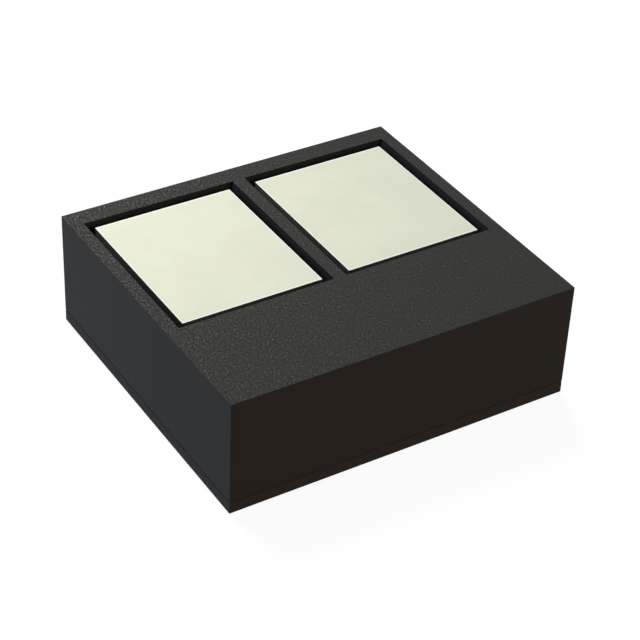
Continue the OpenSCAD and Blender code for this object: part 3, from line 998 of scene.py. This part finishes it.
def filletShape(look, middleX, endY, base, width, outwards):
    # Solder between a pad and an end cap. Its profile from the pad's edge to its top is
    # (reach (1 - sin a), height (1 - cos a)), and both shrink towards its two sides.
    acrossSteps, upSteps = look["solderSteps"]
    lessReach, lessHeight = look["solderShrink"]
    u = np.linspace(-1, 1, acrossSteps + 1)[:, None]
    a = quarterTurn(upSteps)[None, :]
    out = look["padReach"] * (1 - lessReach * u ** 4) * (1 - np.sin(a))
    up = look["solderHeight"] * (1 - lessHeight * u ** 2) * (1 - np.cos(a))
    foot = np.zeros((len(u), 1))
    across = np.broadcast_to(u * width / 2, (len(u), a.shape[1] + 1))
    rings = np.stack([across, np.hstack([foot, out]), np.hstack([foot, up])], -1)
    return turned(skin(rings), (middleX, endY, base), [(outwards, 0, 0), (0, outwards, 0), (0, 0, 1)])


ceramic = ceramicFinish(capacitor)
pads, fillets = [], []
padLow, padHigh = boxOf("capacitor_pads")
for side in ("left", "right"):
    body = easedBlock(*boxOf("capacitor_" + side), capacitor["bodyEase"])
    makePiece("ceramic_body_" + side, [body], ceramic, "capacitor_ceramic", "capacitor_" + side)
    low, high = boxOf("capacitor_ends_" + side)
    ends = [endShape(capacitor, low, high, outwards) for outwards in (-1, 1)]
    makePiece("tinned_ends_" + side, ends, tin, "tin", "capacitor_ends_" + side)
    for outwards in (-1, 1):
        endY = high[1] if outwards > 0 else low[1]
        padY = sorted((endY + outwards * capacitor["padReach"], endY - outwards * capacitor["endLength"]))
        corners = rectangle((low[0], padY[0]), (high[0], padY[1]))
        pads.append(easedSlab(corners, padLow[2], padHigh[2], capacitor["padEase"], capacitor["padCorner"]))
        middleX, width = (low[0] + high[0]) / 2, high[0] - low[0]
        fillets.append(filletShape(capacitor, middleX, endY, padHigh[2], width, outwards))
makePiece("gold_pads", pads, landGold, "land_gold", "capacitor_pads", sharp=50)
makePiece("solder_fillets", fillets, solder, "solder", "capacitor_solder", sharp=50)
print("capacitors made")

# Studio: a white table and soft panels in surroundings that are white to look at and give no light.
# A panel has its place and side in millimetres and its own brightness, where 1 is white. A mirrored panel
# shows in glossy surfaces.
studio = {
    "floorSide": 420,
    "floorDrop": 0.002,           # mm below the lands
    "floorColour": (0.15, 0.15, 0.15),
    "floorGlow": 0.93,
    "surround": (0, 0, 0),
    "target": (0, 0, 1),          # mm, point that the panels look at
}
panels = {
    "back": {"place": (25.9, 210.6, 212.1), "side": 190, "glow": 6.70,
             "mirrored": True, "tint": (0.974, 1, 0.966)},
    "backLeft": {"place": (-3.54, 3.54, 8.66), "side": 6, "glow": 1.557,
                 "mirrored": True, "tint": (1.000, 1, 0.805)},
    "left": {"place": (-281.9, 0, 102.6), "side": 190, "glow": 2.80,
             "mirrored": False, "tint": (0.830, 1, 1.530)},
    "front": {"place": (100.4, -275.7, 62.4), "side": 190, "glow": 2.86,
              "mirrored": False, "tint": (1.500, 1, 0.670)},
    "right": {"place": (281.9, 0, 102.6), "side": 190, "glow": 1.2,
              "mirrored": False, "tint": (1, 1, 1)},
    "below": {"place": (0, 0, -80), "side": 20, "glow": 30,
              "mirrored": False, "tint": (1, 1, 1)},
}


def seenShare(tree):
    # 1 for camera, glossy and transmission rays
    camera = Wire(tree).node("LightPath", {}, {}, "Is Camera Ray")
    glossy, transmission = camera.output("Is Glossy Ray"), camera.output("Is Transmission Ray")
    return (camera + glossy).maths("ADD", transmission, clamp=True)


def makePanel(name, panel, target):
    # Square soft panel that looks at the target
    side = panel["side"] * mm
    data = bpy.data.lights.new(name, "AREA")
    data.size = side
    data.energy = panel["glow"] * math.pi * side ** 2
    data.color = panel["tint"]
    lamp = aimed(name, data, panel["place"], Vector(target) - Vector(panel["place"]))
    lamp.visible_camera, lamp.visible_glossy = False, panel["mirrored"]


def makeWorld(studio):
    world = bpy.data.worlds.new("surround")
    bpy.context.scene.world = world
    world.use_nodes = True
    world.node_tree.nodes.clear()
    seen = seenShare(world.node_tree)
    background = seen.node("Background", {}, {"Color": blend(seen, studio["surround"], (1, 1, 1))})
    background.node("OutputWorld", {}, {"Surface": background})


def makeFloor(studio):
    # White table that lets the camera look through it from below
    half = studio["floorSide"] / 2 * mm
    mesh = bpy.data.meshes.new("floor")
    corners = [(x, y, 0) for x, y in rectangle((-half, -half), (half, half))]
    mesh.from_pydata(corners, [], [(0, 1, 2, 3)])
    floor = bpy.data.objects.new("floor", mesh)
    bpy.context.scene.collection.objects.link(floor)
    floor.location.z = -studio["floorDrop"] * mm
    floor.visible_shadow = False
    finish = bpy.data.materials.new("floor")
    finish.use_nodes = True
    finish.node_tree.nodes.clear()
    seen = seenShare(finish.node_tree)
    matt = seen.node("BsdfDiffuse", {}, {"Color": studio["floorColour"]})
    glow = seen.node("Emission", {}, {"Strength": seen * studio["floorGlow"]})
    upper = seen.node("AddShader", {}, {0: matt, 1: glow})
    below = seen.node("NewGeometry", {}, {}, "Backfacing")
    both = seen.node("MixShader", {}, {0: below, 1: upper, 2: seen.node("BsdfTransparent", {}, {})})
    both.node("OutputMaterial", {}, {"Surface": both})
    mesh.materials.append(finish)


makeWorld(studio)
makeFloor(studio)
for name, panel in panels.items():
    makePanel(name, panel, studio["target"])
bpy.context.scene.view_settings.view_transform = "Standard"
print("studio made")
